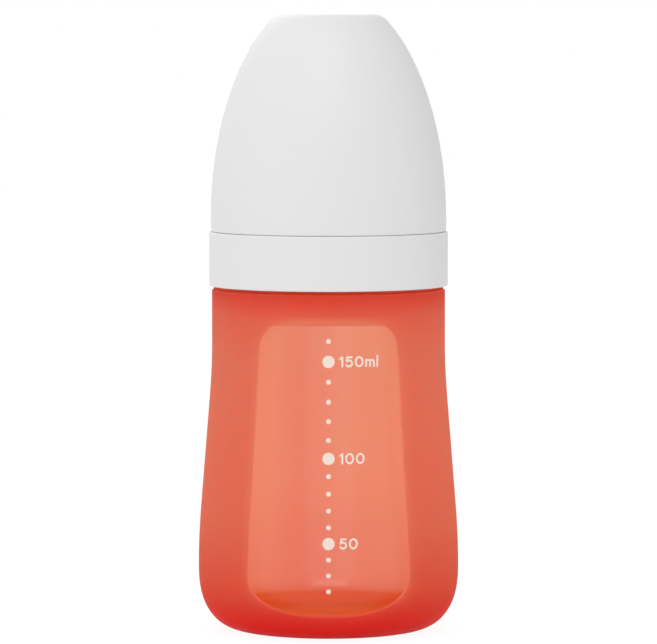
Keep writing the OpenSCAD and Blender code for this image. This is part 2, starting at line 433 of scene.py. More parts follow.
@dataclass(frozen=True)
class ColouredSilicone:
    """Dyed silicone, deeper red towards the foot, with painted shade under the collar and inside, painted
    light on a strip over the window, and a fine satin grain.

    Heights and widths are in millimetres, pairs of them are where a change starts and ends, and
    what starts with "clear" is the share of the light that goes through.
    """

    name: str = "coral_silicone"
    tall: float = 88.0
    # Deeper red towards the foot, where the lowest stop is brightened as painted light from the floor;
    # from 79 mm up, painted shade under the collar's overhang, deepest in the groove.
    outside: Tones = (
        (0.0, srgb(255, 0, 30)),
        (2.5, srgb(232, 0, 20)),
        (8.0, srgb(221, 44, 44)),
        (16.0, srgb(223, 96, 82)),
        (28.0, srgb(229, 130, 110)),
        (70.0, srgb(237, 144, 124)),
        (79.0, srgb(246, 126, 108)),
        (84.9, srgb(248, 66, 56)),
        (85.4, srgb(214, 8, 0)),
    )
    cloud: Colour = srgb(232, 118, 92)
    cloud_share: float = 0.12
    # Inside, seen through the window: deeper towards the bottom as painted shade of the lower inner
    # corner.
    inside: Tones = (
        (6.0, srgb(248, 74, 46)),
        (18.0, srgb(248, 112, 84)),
        (40.0, srgb(250, 134, 108)),
        (78.0, srgb(252, 142, 116)),
    )
    inside_top: Flat = (76.0, 82.0)
    # A vertical stripe of painted shade on the inside, left of the scale.
    deep: Colour = srgb(246, 78, 52)
    shade_stripe_middle: float = -7.0
    shade_stripe_reach: float = 14.0
    # Painted shade on the floor inside, at the foot of the lower inner corner.
    floor: Colour = srgb(255, 56, 0)
    floor_top: Flat = (5.2, 6.2)
    floor_faces_up: Flat = (4.0, 7.0)
    # A paler strip over the window's top edge, painted light.
    painted_light: Colour = srgb(255, 158, 124)
    painted_light_low: Flat = (76.5, 77.5)
    painted_light_top: Flat = (78.8, 80.2)
    painted_light_reach: Flat = (12.0, 16.5)
    painted_light_slope: float = 2.0
    clear_foot: float = 0.1
    clear_wall: float = 0.62
    clear_wall_rise: Flat = (0.5, 14.0)
    clear_top: float = 0.5
    clear_top_rise: Flat = (74.0, 85.0)
    clear_floor: float = 0.55
    clear_inside_low: float = 0.63
    clear_inside_high: float = 0.72
    clear_inside_rise: Flat = (6.0, 40.0)
    # Less light goes through along the painted shade stripe.
    clear_shade_stripe: float = 0.05
    glow: Colour = (1.0, 0.64, 0.49, 1.0)
    # Translucent colour of the floor inside, part of its painted shade.
    glow_floor: Colour = (1.0, 0.46, 0.22, 1.0)
    grain: float = 0.22
    scatter: float = 2.6

    def by_height(self, shader: Shader, tones: Tones) -> Wire:
        """A colour that changes with height.

        Args:
            shader: The tree to build in.
            tones: Heights with their colours.

        Returns:
            The colour.
        """
        stops = [(height / self.tall, tone) for height, tone in tones]
        place = shader.height() / self.tall
        return shader.node("ShaderNodeValToRGB", {"stops": stops}, {0: place}, "Color")

    def painted_light_strip(self, shader: Shader, x: Wire) -> Wire:
        """1 on the strip over the window's top edge that is painted paler, as painted light.

        Args:
            shader: The tree to build in.
            x: Place across the front, in millimetres.

        Returns:
            The share.
        """
        height = shader.height()
        sideways = abs(x) + (height - self.painted_light_low[1]) * self.painted_light_slope
        within = (1 - sideways.step(*self.painted_light_reach)) * height.step(*self.painted_light_low)
        return within * (1 - height.step(*self.painted_light_top))

    def tint(self, shader: Shader, x: Wire, deep: Wire, above_floor: Wire, inward: Wire) -> Wire:
        """The colour outside and inside, with its painted shade and painted light.

        Args:
            shader: The tree to build in.
            x: Place across the front, in millimetres.
            deep: 1 in the middle of the painted shade stripe inside.
            above_floor: 0 on the floor inside, and 1 above it.
            inward: 1 on the inside, and 0 outside.

        Returns:
            The colour.
        """
        # Painted light: the paler strip over the window's top edge.
        outside = shader.blend(self.painted_light_strip(shader, x), self.by_height(shader, self.outside), self.painted_light)
        outside = shader.blend(shader.noise(9.0, 3.0) * self.cloud_share, outside, self.cloud)
        inside = shader.blend(deep, self.by_height(shader, self.inside), self.deep)
        return shader.blend(inward, outside, shader.blend(above_floor, self.floor, inside))

    def clearness(self, shader: Shader, deep: Wire, above_floor: Wire, inward: Wire) -> Wire:
        """The share of the light that goes through, outside and inside.

        Args:
            shader: The tree to build in.
            deep: 1 in the middle of the painted shade stripe inside.
            above_floor: 0 on the floor inside, and 1 above it.
            inward: 1 on the inside, and 0 outside.

        Returns:
            The share.
        """
        height = shader.height()
        rise = height.step(*self.clear_wall_rise) * (self.clear_wall - self.clear_foot)
        fall = height.step(*self.clear_top_rise) * (self.clear_wall - self.clear_top)
        outside = self.clear_foot + rise - fall
        higher = height.step(*self.clear_inside_rise) * (self.clear_inside_high - self.clear_inside_low)
        over_floor = higher - deep * self.clear_shade_stripe + (self.clear_inside_low - self.clear_floor)
        inside = self.clear_floor + above_floor * over_floor
        return outside + inward * (inside - outside)

    def material(self) -> bpy.types.Material:
        """Build the material.

        Returns:
            The material.
        """
        shader = Shader(self.name)
        height, x = shader.height(), shader.place.part("X") / MM
        # Mask of the painted shade stripe inside.
        deep = 1 - abs(x - self.shade_stripe_middle).step(0.0, self.shade_stripe_reach)
        above_floor = height.step(*self.floor_top)
        inward = shader.inward(self.floor_faces_up) * (1 - height.step(*self.inside_top))
        fine = shader.noise(self.grain)
        surface = shader.principled(
            {
                "Base Color": self.tint(shader, x, deep, above_floor, inward),
                "Roughness": 0.6 + fine * 0.1,
                "IOR": 1.41,
                "Specular IOR Level": 0.2,
                "Subsurface Weight": 1.0,
                "Subsurface Radius": (1.0, 0.22, 0.12),
                "Subsurface Scale": self.scatter * MM,
                "Normal": shader.bump(fine, 0.012, 0.35),
            }
        )
        through = shader.mix(
            inward * (1 - above_floor),
            shader.passing("Translucent", self.glow),
            shader.passing("Translucent", self.glow_floor),
        )
        share = self.clearness(shader, deep, above_floor, inward)
        return shader.finish(shader.mix(share, surface, through))


@dataclass(frozen=True)
class ClearGlass:
    """Clear glass that lets light through, so that what lies behind it is lit."""

    name: str = "clear_glass"
    tint: Colour = srgb(254, 255, 255)
    ior: float = 1.25
    base: Flat = (4.8, 8.0)
    base_clear: float = 0.95

    def material(self) -> bpy.types.Material:
        """Build the material.

        Returns:
            The material.
        """
        shader = Shader(self.name)
        ripple = shader.noise(14.0, 1.0)
        glass = shader.principled(
            {
                "Base Color": self.tint,
                "Roughness": 0.09 + shader.noise(3.0) * 0.02,
                "IOR": self.ior,
                "Transmission Weight": 1.0,
                "Normal": shader.bump(ripple, 0.02, 0.2),
            }
        )
        shadow = shader.node("ShaderNodeLightPath", output="Is Shadow Ray")
        bounce = shader.node("ShaderNodeLightPath", output="Is Diffuse Ray")
        light = shadow.maths("MAXIMUM", shadow, bounce)
        base = (1 - shader.height().step(*self.base)) * self.base_clear
        share = light.maths("MAXIMUM", light, base)
        return shader.finish(shader.mix(share, glass, shader.passing("Transparent", self.tint)))


@dataclass(frozen=True)
class MouldedPlastic:
    """Opaque moulded plastic with a fine matt texture."""

    name: str
    colour: Colour
    shade: Colour
    shade_share: float = 0.35
    roughness: float = 0.42
    grain: float = 0.3
    relief: float = 0.01

    def material(self) -> bpy.types.Material:
        """Build the material.

        Returns:
            The material.
        """
        shader = Shader(self.name)
        fine = shader.noise(self.grain)
        cloudy = shader.noise(12.0) * self.shade_share
        surface = shader.principled(
            {
                "Base Color": shader.blend(cloudy, self.colour, self.shade),
                "Roughness": self.roughness + fine * 0.1,
                "IOR": 1.49,
                "Subsurface Weight": 0.15,
                "Subsurface Radius": (1.0, 0.95, 0.9),
                "Subsurface Scale": 0.6 * MM,
                "Normal": shader.bump(fine, self.relief, 0.4),
            }
        )
        return shader.finish(surface)


@dataclass(frozen=True)
class MilkySilicone:
    """Soft clear silicone that scatters light, as teats are made of."""

    name: str = "milky_silicone"
    colour: Colour = srgb(252, 250, 246)
    shade: Colour = srgb(248, 244, 238)
    glow: Colour = (0.98, 0.97, 0.94, 1.0)
    cloudy: float = 0.4
    clear: float = 0.3

    def material(self) -> bpy.types.Material:
        """Build the material.

        Returns:
            The material.
        """
        shader = Shader(self.name)
        fine = shader.noise(0.35)
        surface = shader.principled(
            {
                "Base Color": shader.blend(shader.noise(8.0), self.colour, self.shade),
                "Roughness": 0.3 + fine * 0.12,
                "IOR": 1.41,
                "Subsurface Weight": 1.0,
                "Subsurface Radius": (1.0, 0.9, 0.75),
                "Subsurface Scale": 3.0 * MM,
                "Normal": shader.bump(fine, 0.01, 0.3),
            }
        )
        milky = shader.mix(self.cloudy, surface, shader.passing("Translucent", self.glow))
        share = self.clear + shader.noise(5.0) * 0.04
        return shader.finish(shader.mix(share, milky, shader.passing("Transparent", self.glow)))


@dataclass(frozen=True)
class FiredEnamel:
    """White enamel print on glass."""

    name: str = "white_enamel"
    colour: Colour = srgb(252, 236, 224)
    shade: Colour = srgb(246, 222, 208)

    def material(self) -> bpy.types.Material:
        """Build the material.

        Returns:
            The material.
        """
        shader = Shader(self.name)
        fine = shader.noise(0.12)
        surface = shader.principled(
            {
                "Base Color": shader.blend(fine * 0.25, self.colour, self.shade),
                "Roughness": 0.4 + fine * 0.15,
                "IOR": 1.5,
                "Normal": shader.bump(fine, 0.006, 0.3),
            }
        )
        return shader.finish(surface)


# ---------------------------------------------------------------------------------------------
# Meshes
# ---------------------------------------------------------------------------------------------


def placed(name: str, data: bpy.types.ID) -> bpy.types.Object:
    """Make an object of some data and put it in the scene.

    Args:
        name: The new object's name.
        data: Its mesh, lamp or camera data.

    Returns:
        The object.
    """
    made = bpy.data.objects.new(name, data)
    bpy.context.scene.collection.objects.link(made)
    return made


class Draft:
    """Points and faces in millimetres, gathered before they become one closed mesh."""

    def __init__(self) -> None:
        """Start empty."""
        self.points: list[Solid] = []
        self.faces: list[tuple[int, ...]] = []

    def skin(self, rows: Sequence[Sequence[Solid]], closed: bool = True) -> None:
        """Cover the space between neighbouring rows of points.

        Args:
            rows: Rows with the same number of points each.
            closed: Whether each row runs back to its first point.
        """
        start, width = len(self.points), len(rows[0])
        for row in rows:
            self.points += row
        last = width if closed else width - 1
        for i in range(len(rows) - 1):
            for j in range(last):
                a, b = start + i * width + j, start + i * width + (j + 1) % width
                self.faces.append((a, b, b + width, a + width))

    def lathe(self, outline: Sequence[Flat], turns: int) -> None:
        """Turn a closed outline round the axis.

        Args:
            outline: Distances from the axis and heights.
            turns: Number of columns round the axis.
        """
        step = 2 * math.pi / turns
        loop = [*outline, outline[0]]
        self.skin([[round_axis(r, z, step * j) for j in range(turns)] for r, z in loop])

    def build(self, name: str, material: bpy.types.Material, sharp: float = 50.0) -> bpy.types.Object:
        """Make the object, with its doubles merged and its faces pointing outwards.

        Args:
            name: The piece's name.
            material: Its finish.
            sharp: Angle in degrees past which an edge stays sharp.

        Returns:
            The object at the origin, with its place in its mesh.
        """
        shape = bmesh.new()
        made = [shape.verts.new((x * MM, y * MM, z * MM)) for x, y, z in self.points]
        for face in self.faces:
            shape.faces.new([made[i] for i in face])
        bmesh.ops.remove_doubles(shape, verts=shape.verts, dist=MERGE)
        bmesh.ops.recalc_face_normals(shape, faces=shape.faces)
        mesh = bpy.data.meshes.new(name)
        shape.to_mesh(mesh)
        shape.free()
        mesh.materials.append(material)
        mesh.shade_smooth()
        mesh.set_sharp_from_angle(angle=math.radians(sharp))
        return placed(name, mesh)


def lathed(
    name: str, outline: Sequence[Flat], columns: int, material: bpy.types.Material
) -> bpy.types.Object:
    """Make a piece by turning a closed outline round the axis.

    Args:
        name: The piece's name.
        outline: Its outline, as distances from the axis and heights.
        columns: Number of columns round the axis.
        material: Its finish.

    Returns:
        The object.
    """
    draft = Draft()
    draft.lathe(outline, columns)
    return draft.build(name, material)


class Relief(Tree):
    """A Geometry Nodes tree that works on a piece's mesh, with named inputs for its sizes."""

    def __init__(self, name: str, sizes: Sequence[str]) -> None:
        """Make an empty tree.

        Args:
            name: The tree's name.
            sizes: Names of the inputs that take numbers.
        """
        self.name = name
        group = bpy.data.node_groups.new(name, "GeometryNodeTree")
        super().__init__(group)
        group.interface.new_socket(name="Geometry", in_out="INPUT", socket_type="NodeSocketGeometry")
        for size in sizes:
            group.interface.new_socket(name=size, in_out="INPUT", socket_type="NodeSocketFloat")
        group.interface.new_socket(name="Material", in_out="INPUT", socket_type="NodeSocketMaterial")
        group.interface.new_socket(name="Geometry", in_out="OUTPUT", socket_type="NodeSocketGeometry")
        self.entry = group.nodes.new("NodeGroupInput")

    def value(self, name: str) -> Wire:
        """The wire of a named input."""
        return Wire(self, self.entry.outputs[name])

    def moved(self, offset: Wire) -> Wire:
        """The piece's own geometry with its points moved."""
        inputs = {"Geometry": self.value("Geometry"), "Offset": offset}
        return self.node("GeometryNodeSetPosition", None, inputs)

    def close(self, geometry: Wire) -> None:
        """End the tree in real, dressed geometry.

        Args:
            geometry: The tree's result.
        """
        real = self.node("GeometryNodeRealizeInstances", None, {"Geometry": geometry})
        dress = {"Geometry": real, "Material": self.value("Material")}
        dressed = self.node("GeometryNodeSetMaterial", None, dress)
        self.node("NodeGroupOutput", None, {"Geometry": dressed})

    def apply(self, piece: bpy.types.Object, values: Mapping[str, object]) -> None:
        """Run the tree on a piece and keep the result as its plain mesh.

        Args:
            piece: The object whose mesh is worked on.
            values: What each named input is set to.
        """
        modifier = piece.modifiers.new(self.name, "NODES")
        modifier.node_group = self.tree
        for item in self.tree.interface.items_tree:
            if item.in_out == "INPUT" and item.name in values:
                modifier[item.identifier] = values[item.name]
        keep_result(piece)


def keep_result(piece: bpy.types.Object) -> None:
    """Turn a piece with its modifiers into one with a plain mesh and none.

    Args:
        piece: The object whose modifiers are worked out.
    """
    bpy.context.view_layer.update()
    ready = piece.evaluated_get(bpy.context.evaluated_depsgraph_get())
    mesh = bpy.data.meshes.new_from_object(ready)
    mesh.name = piece.name
    piece.modifiers.clear()
    piece.data = mesh


class Side(Enum):
    """The way in which a relief stands out from a wall."""

    OUTWARD = 1
    INWARD = -1


@dataclass(frozen=True)
class ScrewThread:
    """The coarse thread that the neck and the collar share, with half a pitch between their ridges.

    The walls that carry it need points along them no further apart than "longest".
    """

    pitch: float = 4.5
    ridge: float = 1.2
    width: float = 2.1
    crest: float = 0.45
    low: float = 88.4
    high: float = 97.4
    fade: float = 1.2
    near: float = 0.1
    longest: float = 0.28

    def tree(self) -> Relief:
        """Build the nodes that raise one ridge along a helix on a round wall.

        Returns:
            The tree, with inputs for the wall's radius and the thread's sizes.
        """
        sizes = ("Radius", "Ridge", "Pitch", "Width", "Low", "High", "Fade", "Phase")
        relief = Relief("screw_thread", sizes)
        place = relief.node("GeometryNodeInputPosition")
        x, y, z = (place.part(axis) for axis in "XYZ")
        across = x.hypot(y)
        turn = y.maths("ARCTAN2", y, x) / math.tau
        lap = z / relief.value("Pitch") - turn - relief.value("Phase")
        away = abs(lap.maths("FRACT", lap) - 0.5) * relief.value("Pitch")
        half = relief.value("Width") * 0.5
        crest = 1 - away.step(half * self.crest, half)
        low, high, fade = (relief.value(name) for name in ("Low", "High", "Fade"))
        ends = z.step(low, low + fade) * (1 - z.step(high - fade, high))
        on_wall = across.maths("COMPARE", across, relief.value("Radius"), self.near * MM)
        push = crest * ends * on_wall * relief.value("Ridge") / across
        offset = relief.node("ShaderNodeCombineXYZ", None, {0: x * push, 1: y * push})
        relief.close(relief.moved(offset))
        return relief

    def cut(self, piece: bpy.types.Object, radius: float, side: Side, tree: Relief) -> None:
        """Raise the thread on one wall of a piece.

        Args:
            piece: The neck or the collar.
            radius: Radius of the wall.
            side: The way in which the ridge stands out.
            tree: The nodes from tree().
        """
        values = {
            "Radius": radius * MM,
            "Ridge": side.value * self.ridge * MM,
            "Pitch": self.pitch * MM,
            "Width": self.width * MM,
            "Low": self.low * MM,
            "High": self.high * MM,
            "Fade": self.fade * MM,
            "Phase": 0.0 if side is Side.OUTWARD else 0.5,
            "Material": piece.data.materials[0],
        }
        tree.apply(piece, values)


# ---------------------------------------------------------------------------------------------
# Sizes that the pieces share
# ---------------------------------------------------------------------------------------------


@dataclass(frozen=True)
class Levels:
    """Heights and radii, in millimetres, of the plain solids that the pieces stand for."""

    widest: float
    lip: float
    glass_foot: float
    rim: float
    disc_top: float
    flange: float
    tip: float
    collar: float
    skirt: float
    collar_top: float
    cap: float
    seat: float
    cap_top: float

    @classmethod
    def measured(cls) -> Levels:
        """Read them from the loaded frame.

        Returns:
            The levels.
        """

        def edge(node: str, corner: int, axis: int) -> float:
            """One coordinate of a node's box, to a tenth of a millimetre."""
            return round(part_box(node)[corner][axis] / MM, 1)

        return cls(
            widest=edge("sleeve", 1, 0),
            lip=edge("sleeve", 1, 2),
            glass_foot=edge("bottle", 0, 2),
            rim=edge("bottle", 1, 2),
            disc_top=edge("sealing_disc", 1, 2),
            flange=edge("teat", 1, 0),
            tip=edge("teat", 1, 2),
            collar=edge("collar", 1, 0),
            skirt=edge("collar", 0, 2),
            collar_top=edge("collar", 1, 2),
            cap=edge("cap", 1, 0),
            seat=edge("cap", 0, 2),
            cap_top=edge("cap", 1, 2),
        )


@dataclass(frozen=True)
class BodyOutline:
    """The curve that the glass and its sleeve share, measured over the sleeve."""

    widest: float
    foot: float = 20.0
    corner_height: float = 16.0
    corner_power: float = 2.4
    belly: float = 23.5
    lean_top: float = 66.0
    waist: float = 29.1
    bend: float = 7.0
    shoulder: float = 84.5
    shoulder_height: float = 2.0
    shoulder_step: float = 1.3

    def ramp(self, distance: float) -> float:
        """A straight ramp that starts softly round zero.

        Args:
            distance: Height over the bend's middle.

        Returns:
            Nothing well below the bend, and the height well above it.
        """
        if distance <= -self.bend:
            return 0.0
        return distance if distance >= self.bend else (distance + self.bend) ** 2 / (4 * self.bend)

    def wall(self, height: float) -> float:
        """Radius of the leaning wall at a height."""
        slope = (self.widest - self.waist) / (self.lean_top - self.belly)
        return self.widest - slope * (self.ramp(height - self.belly) - self.ramp(height - self.lean_top))

    def radius(self, height: float, depth: float, floor: float) -> float:
        """Radius at a height, a depth inside the sleeve's surface.

        Args:
            height: Height above the table.
            depth: How far inside the surface.
            floor: Height at which the corner meets the flat foot.

        Returns:
            The radius from the axis.
        """
        if height >= self.corner_height:
            return self.wall(height) - depth
        share = min(1.0, (self.corner_height - height) / (self.corner_height - floor))
        reach = self.widest - depth - self.foot
        return self.foot + reach * (1 - share**self.corner_power) ** (1 / self.corner_power)

    def corner(self, depth: float, floor: float, top: float, steps: int = 16) -> list[Flat]:
        """Points up the rounded corner from its flat foot.

        Args:
            depth: How far inside the sleeve's surface.
            floor: Height at which the corner meets the flat foot.
            top: Height on the corner to stop at.
            steps: Number of stretches.

        Returns:
            steps + 1 points.
        """
        power = 2 / self.corner_power
        share = (self.corner_height - top) / (self.corner_height - floor)
        last = math.acos(share ** (1 / power))
        points = []
        for i in range(steps):
            drop = (self.corner_height - floor) * math.cos(last * i / steps) ** power
            height = self.corner_height - drop
            points.append((self.radius(height, depth, floor), height))
        return [*points, (self.radius(top, depth, floor), top)]

    def neck_curve(self, depth: float) -> list[Flat]:
        """The shoulder, an S from the body's wall in to the neck.

        Args:
            depth: How far inside the sleeve's surface.

        Returns:
            The points from below to above.
        """
        out, low = self.waist - depth, self.shoulder - self.shoulder_height
        middle = self.shoulder - self.shoulder_height / 2
        inner = out - self.shoulder_step
        return cubic(((out, low), (out, middle), (inner, middle), (inner, self.shoulder)), 14)

    def side(self, depth: float, floor: float) -> list[Flat]:
        """The whole side, from the flat foot to the start of the neck.

        Args:
            depth: How far inside the sleeve's surface.
            floor: Height at which the corner meets the flat foot.

        Returns:
            The points from below to above.
        """
        low = self.corner(depth, floor, self.corner_height, 28)
        top = self.shoulder - self.shoulder_height
        count = 44
        rise = (top - self.corner_height) / count
        heights = [self.corner_height + rise * i for i in range(1, count)]
        return [*low, *((self.wall(z) - depth, z) for z in heights), *self.neck_curve(depth)]


@dataclass(frozen=True)
class WindowOutline:
    """The opening in the sleeve as seen from the front: a round lower end and sides that lean in."""

    top: float = 77.7
    top_width: float = 33.5
    low_width: float = 39.5
    foot: float = 6.6
    bowl: float = 10.5
    power: float = 2.5
    corner: Flat = (4.4, 6.5)

    def loop(self) -> list[Flat]:
        """The closed outline, from its lowest point up the right side and down the left.

        Returns:
            The points as seen from the front.
        """
        low, top, steps = self.low_width / 2, self.top_width / 2, 60
        half = []
        for i in range(steps + 1):
            a = math.pi / 2 * i / steps
            across = low * math.sin(a) ** (2 / self.power)
            half.append((across, self.foot + self.bowl * (1 - math.cos(a) ** (2 / self.power))))
        half += arc((top - self.corner[0], self.top - self.corner[1]), self.corner, 0, 90, 32)
        return [*half, *((-x, z) for x, z in reversed(half))]


# ---------------------------------------------------------------------------------------------
# Pieces
# ---------------------------------------------------------------------------------------------


def seat(piece: bpy.types.Object, body: str, slot: str, node: str | None = None) -> None:
    """Give a finished piece its place in the assembly.

    Args:
        piece: The finished piece.
        body: The body that carries it.
        slot: The material slot that its finish belongs to; not used.
        node: The plain solid that it stands for, if there is one.
    """
    if node:
        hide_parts(node)
    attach(piece, body)
    LOG.info("%s: %d faces on %s", piece.name, len(piece.data.polygons), body)


@dataclass
class SiliconeSleeve:
    """The silicone sleeve with the window that shows the scale."""

    body: BodyOutline
    window: WindowOutline
    finish: ColouredSilicone
    lip: float
    wall: float = 1.8
    neck: float = 26.0
    lip_radius: float = 27.2
    ledge: float = 85.2
    tuck: float = 85.8
    groove: float = 28.6
    edge_round: float = 0.4
    recess: float = 9.0
    recess_depth: float = 0.5
    rim_round: float = 0.4
    rim_back_round: float = 0.3
    columns: int = 216
    patch: int = 72
    rows: int = 60
    rings: int = 10
    crowding: float = 1.4
    outer_span: Flat = (3.0, 82.4)
    inner_span: Flat = (4.2, 81.0)

    def point(self, x: float, z: float, share: float) -> Solid:
        """A point in the wall, seen from the front, a share of the way from outside to inside."""
        return round_axis(self.radius(z, share), z, math.asin(x / self.radius(z, share)))

    def radius(self, z: float, share: float) -> float:
        """Radius at a height, a share of the way through the wall.

        Args:
            z: Height above the table.
            share: 0 for the outer surface and 1 for the inner one.

        Returns:
            The radius from the axis.
        """
        outer = self.body.radius(z, 0.0, 0.0)
        inner = self.body.radius(z, self.wall, self.wall)
        return outer + (inner - outer) * share

    def angle(self, column: int) -> float:
        """Angle of a column, where the first is the patch's left edge."""
        return math.tau * (column - self.patch / 2) / self.columns

    def frame(self, span: Flat) -> list[Flat]:
        """The patch's edge as angles and heights, from its lower left corner round to the right.

        Args:
            span: Lowest and highest height of the patch.

        Returns:
            The points, once round.
        """
        low, high = span
        heights = [low + (high - low) * i / self.rows for i in range(self.rows)]
        angles = [self.angle(j) for j in range(self.patch)]
        left, right = self.angle(0), self.angle(self.patch)
        return [
            *((a, low) for a in angles),
            *((right, z) for z in heights),
            *((-a, high) for a in angles),
            *((left, low + high - z) for z in heights),
        ]

    def cast(self) -> list[tuple[Flat, Flat]]:
        """Where rays from the patch's middle through its edge points meet the window.

        Returns:
            The points as seen from the front, each with the direction that leads away from the window.
        """
        low, high = self.outer_span
        middle, half = (low + high) / 2, (high - low) / 2
        # The window is scaled by about the patch's own half width, so that it fills the same square.
        broad = 0.9 * self.body.widest
        loop = [(x / broad, (z - middle) / half) for x, z in self.window.loop()]
        reach = self.angle(self.patch)
        found: list[Flat] = []
        for angle, height in self.frame(self.outer_span):
            across, up = crossing(loop, (angle / reach, (height - middle) / half))
            found.append((across * broad, middle + up * half))
        outward = []
        for k, here in enumerate(found):
            before, after = found[k - 1], found[(k + 1) % len(found)]
            along = (after[0] - before[0], after[1] - before[1])
            length = math.hypot(*along)
            outward.append((here, (along[1] / length, -along[0] / length)))
        return outward

    def section(self) -> list[Flat]:
        """The rounded edge of the window: distance from the opening, and share of the wall.

        Returns:
            The steps from the outer surface to the inner one.
        """
        front, back = self.rim_round, self.rim_back_round
        fronts = [(front - x, (front - y) / self.wall) for x, y in arc((0, 0), (front, front), 90, 0, 7)]
        backs = [(back - x, 1 - (back - y) / self.wall) for x, y in arc((0, 0), (back, back), 0, 90, 5)]
        return fronts + backs

    def surface_rings(self, span: Flat, share: float, edge: Sequence[Flat]) -> list[list[Solid]]:
        """Rings on one surface of the patch, from its edge in to the window.

        Args:
            span: Lowest and highest height of the patch.
            share: 0 for the outer surface and 1 for the inner one.
            edge: Where the rings end, as seen from the front.

        Returns:
            The rings, outermost first.
        """
        goals = [(math.asin(x / self.radius(z, share)), z) for x, z in edge]
        rings = []
        for i in range(self.rings + 1):
            t = 1 - (1 - i / self.rings) ** self.crowding
            ring = []
            for (angle, height), (goal_angle, goal_height) in zip(self.frame(span), goals):
                z = height + (goal_height - height) * t
                ring.append(round_axis(self.radius(z, share), z, angle + (goal_angle - angle) * t))
            rings.append(ring)
        return rings

    def patch_rows(self) -> list[list[Solid]]:
        """Rings from the patch's edge in to the window, through it, and out again on the inside.

        Returns:
            The rings in the order in which they join.
        """
        cast = self.cast()
        rims = [
            [(x + distance * dx, z + distance * dz, share) for (x, z), (dx, dz) in cast]
            for distance, share in self.section()
        ]
        outer = self.surface_rings(self.outer_span, 0.0, [p[:2] for p in rims[0]])
        inner = self.surface_rings(self.inner_span, 1.0, [p[:2] for p in rims[-1]])
        through = [[self.point(*p) for p in rim] for rim in rims[1:-1]]
        return [*outer, *through, *reversed(inner)]

    def back_rows(self, span: Flat, share: float) -> list[list[Solid]]:
        """Rows round the back, from one side of the patch to the other.

        Args:
            span: Lowest and highest height of the rows.
            share: 0 for the outer surface and 1 for the inner one.

        Returns:
            The rows from below to above.
        """
        low, high = span
        heights = [low + (high - low) * i / self.rows for i in range(self.rows)] + [high]
        columns = range(self.patch, self.columns + 1)
        return [[round_axis(self.radius(z, share), z, self.angle(j)) for j in columns] for z in heights]

    def turned(self, outline: Sequence[Flat]) -> list[list[Solid]]:
        """Full rows round the axis on the sleeve's own columns."""
        columns = range(self.columns)
        return [[round_axis(r, z, self.angle(j)) for j in columns] for r, z in outline]

    def base(self) -> list[Flat]:
        """Outline of the outer base, from the patch's lower edge to the axis.

        Returns:
            The points from the patch's edge in.
        """
        low = self.outer_span[0]
        corner = list(reversed(self.body.corner(0.0, 0.0, low)))
        recess = rounded(
            (
                (self.body.foot, 0.0, 0.0),
                (self.recess, 0.0, 0.25),
                (self.recess - self.recess_depth, self.recess_depth, 0.25),
                (0.0, self.recess_depth, 0.0),
            )
        )
        return [*corner, *spread(recess[1:], 3.0)]

    def floor(self) -> list[Flat]:
        """Outline of the floor inside, from the patch's lower edge to the axis."""
        corner = list(reversed(self.body.corner(self.wall, self.wall, self.inner_span[0])))
        return [*corner, *((self.body.foot * share, self.wall) for share in (0.6, 0.3, 0.0))]

    def top(self) -> list[Flat]:
        """Outline over the top, from the outer surface by ledge, groove and lip to the inner one.

        Returns:
            The points from the outer patch's edge to the inner one's.
        """
        high, waist = self.outer_span[1], self.body.wall(self.ledge)
        edge = (waist - self.edge_round, self.ledge - self.edge_round)
        lip = rounded(
            (
                (edge[0], self.ledge, 0.0),
                (self.groove, self.ledge, 0.05),
                (self.groove, self.tuck, 0.1),
                (self.lip_radius, self.tuck, 0.15),
                (self.lip_radius, self.lip, 0.4),
                (self.neck, self.lip, 0.2),
                (self.neck, self.body.shoulder, 0.0),
            )
        )
        shoulder = list(reversed(self.body.neck_curve(self.wall)))
        start = [(self.radius(high, 0.0), high), (waist, (high + edge[1]) / 2)]
        end = [(self.radius(self.inner_span[1], 1.0), self.inner_span[1])]
        return [*start, *arc(edge, (self.edge_round, self.edge_round), 0, 90, 8), *lip, *shoulder, *end]

    def build(self) -> bpy.types.Object:
        """Build the sleeve in place of its plain solid.

        Returns:
            The piece.
        """
        draft = Draft()
        draft.skin(self.patch_rows())
        draft.skin(self.back_rows(self.outer_span, 0.0), closed=False)
        draft.skin(self.back_rows(self.inner_span, 1.0), closed=False)
        for outline in (self.base(), self.floor(), self.top()):
            draft.skin(self.turned(outline))
        sleeve = draft.build("silicone_sleeve", self.finish.material())
        seat(sleeve, "bottle", "sleeve_silicone", "sleeve")
        return sleeve


